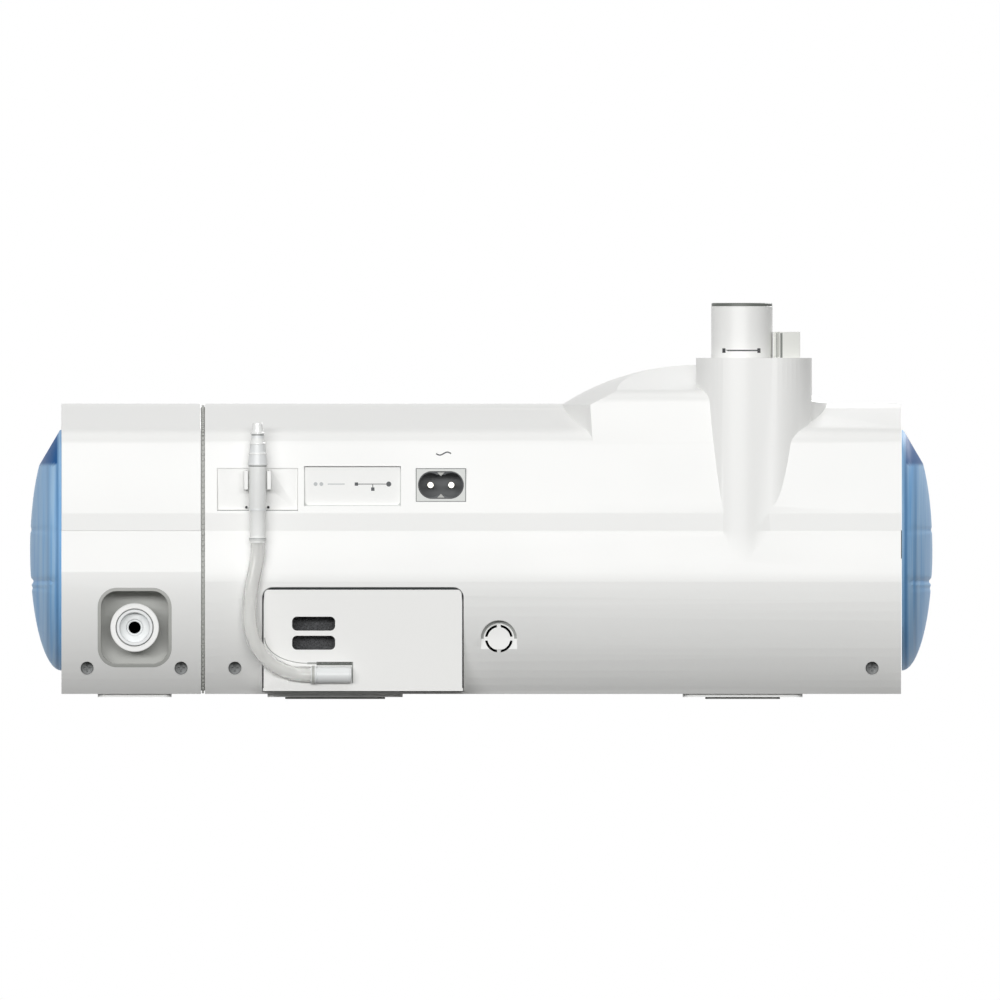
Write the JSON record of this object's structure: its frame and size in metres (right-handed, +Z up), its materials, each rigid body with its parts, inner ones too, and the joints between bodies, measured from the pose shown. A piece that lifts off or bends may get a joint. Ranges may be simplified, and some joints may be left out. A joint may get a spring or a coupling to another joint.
{
  "type": "non-invasive ventilator",
  "caption": "Bench-top bilevel ventilator with humidifier tank, add-on gas module, rear filter, oxygen line, mains inlet and upright air outlet.",
  "frame": {"origin": "centre of the bounding box on the table plane, under the feet", "axes": "+X towards the add-on module, +Y towards the rear with the sockets, +Z up"},
  "size_m": [0.3736, 0.1576, 0.164],
  "materials": {
    "white_abs": "satin moulded white ABS",
    "pale_abs": "satin pale grey-white ABS",
    "pale_tpe": "soft white elastomer",
    "inner_abs": "plain moulded ABS",
    "grey_abs": "fine-textured grey ABS",
    "blue_pc": "blue tinted translucent polycarbonate",
    "window_glass": "dark hard-coated window",
    "green_board": "glass-epoxy circuit board",
    "dark_nylon": "dark glass-filled nylon",
    "nickel_pins": "nickel-plated brass",
    "steel_screws": "zinc-plated steel",
    "aluminium_plate": "turned aluminium",
    "grey_silicone": "soft silicone",
    "black_rubber": "matt rubber",
    "grey_foam": "open-cell grey foam",
    "white_fleece": "fine white filter fleece",
    "clear_pvc": "clear flexible PVC",
    "clear_pc": "clear polycarbonate",
    "knob_grey": "satin grey knob",
    "blue_button": "blue button cap"
  },
  "bodies": {
    "base": {"upper_housing": "white_abs", "lower_housing": "white_abs", "rubber_feet": "black_rubber", "front_bezel": "pale_abs", "display_window": "window_glass", "lcd_module": "dark_nylon", "control_board": "green_board", "power_board": "green_board", "c8_inlet": "grey_abs", "c8_pins": "nickel_pins", "comms_connectors": "dark_nylon", "clip_plate": "white_abs", "filter_bay": "inner_abs", "intake_duct": "inner_abs", "blower_lower": "dark_nylon", "blower_upper": "dark_nylon", "blower_motor": "steel_screws", "blower_mount": "grey_silicone", "blower_duct": "inner_abs", "outlet_duct": "inner_abs", "outlet_seal": "grey_silicone", "tube_connector": "pale_abs", "tank_bay": "inner_abs", "port_plate": "inner_abs", "port_seals": "grey_silicone", "heater_frame": "dark_nylon", "encoder_body": "steel_screws", "button_mat": "grey_silicone", "module_upper": "white_abs", "module_lower": "white_abs", "module_dome": "blue_pc", "recess_liner": "grey_abs", "gas_fitting": "pale_abs", "module_tube": "clear_pvc", "module_board": "green_board", "module_link": "grey_abs", "gap_strip": "grey_abs", "shell_screws": "steel_screws"},
    "tank": {"tank_tub": "clear_pc", "tank_plate": "aluminium_plate", "tank_seal": "grey_silicone", "tank_lid": "clear_pc", "tank_dome": "blue_pc"},
    "filter_set": {"filter_cover": "white_abs", "coarse_filter": "grey_foam", "fine_filter": "white_fleece", "hose_barb": "pale_abs", "oxygen_hose": "clear_pvc", "oxygen_nipple": "pale_abs"},
    "flap": {"comms_flap": "pale_tpe"},
    "outlet": {"outlet_tube": "pale_abs"},
    "shaft": {"encoder_shaft": "steel_screws"},
    "knob": {"knob": "knob_grey"},
    "start": {"start_button": "blue_button"},
    "home": {"home_button": "pale_abs"},
    "ramp": {"ramp_button": "pale_abs"},
    "mute": {"mute_button": "pale_abs"},
    "collar": {"release_collar": "white_abs"},
    "rotor": {"impeller": "inner_abs"},
    "heater": {"heater_plate": "aluminium_plate"}
  },
  "joints": [
    {"name": "tank_slide", "type": "slide", "parent": "base", "child": "tank", "axis": [-1, 0, 0], "range_m": [0, 0.125]},
    {"name": "filter_pull", "type": "slide", "parent": "base", "child": "filter_set", "axis": [0, 1, 0], "range_m": [0, 0.04]},
    {"name": "flap_hinge", "type": "hinge", "parent": "base", "child": "flap", "pos_m": [0.0533, 0.06626, 0.0953], "axis": [1, 0, 0], "range_deg": [0, 100]},
    {"name": "outlet_lift", "type": "slide", "parent": "base", "child": "outlet", "axis": [0, 0, 1], "range_m": [0, 0.03]},
    {"name": "knob_push", "type": "slide", "parent": "base", "child": "shaft", "axis": [0, 0.8746, -0.4848], "range_m": [0, 0.0008], "stiffness_N_per_m": 2500, "springref_m": -0.0004},
    {"name": "knob_turn", "type": "hinge", "parent": "shaft", "child": "knob", "pos_m": [0.072, -0.05789, 0.08814], "axis": [0, -0.8746, 0.4848], "continuous": true},
    {"name": "start_press", "type": "slide", "parent": "base", "child": "start", "axis": [0, 0.8746, -0.4848], "range_m": [0, 0.0008], "stiffness_N_per_m": 1500, "springref_m": -0.0004},
    {"name": "home_press", "type": "slide", "parent": "base", "child": "home", "axis": [0, 0.8746, -0.4848], "range_m": [0, 0.0008], "stiffness_N_per_m": 1500, "springref_m": -0.0004},
    {"name": "ramp_press", "type": "slide", "parent": "base", "child": "ramp", "axis": [0, 0.8746, -0.4848], "range_m": [0, 0.0008], "stiffness_N_per_m": 1500, "springref_m": -0.0004},
    {"name": "mute_press", "type": "slide", "parent": "base", "child": "mute", "axis": [0, 0.8746, -0.4848], "range_m": [0, 0.0008], "stiffness_N_per_m": 1500, "springref_m": -0.0004},
    {"name": "collar_release", "type": "slide", "parent": "base", "child": "collar", "axis": [0, -1, 0], "range_m": [0, 0.0025], "stiffness_N_per_m": 1000, "springref_m": -0.001},
    {"name": "impeller_spin", "type": "hinge", "parent": "base", "child": "rotor", "pos_m": [0.044, -0.016, 0.04], "axis": [0, 0, 1], "continuous": true},
    {"name": "heater_float", "type": "slide", "parent": "base", "child": "heater", "axis": [0, 0, -1], "range_m": [0, 0.0012], "stiffness_N_per_m": 2000, "springref_m": -0.002}
  ]
}
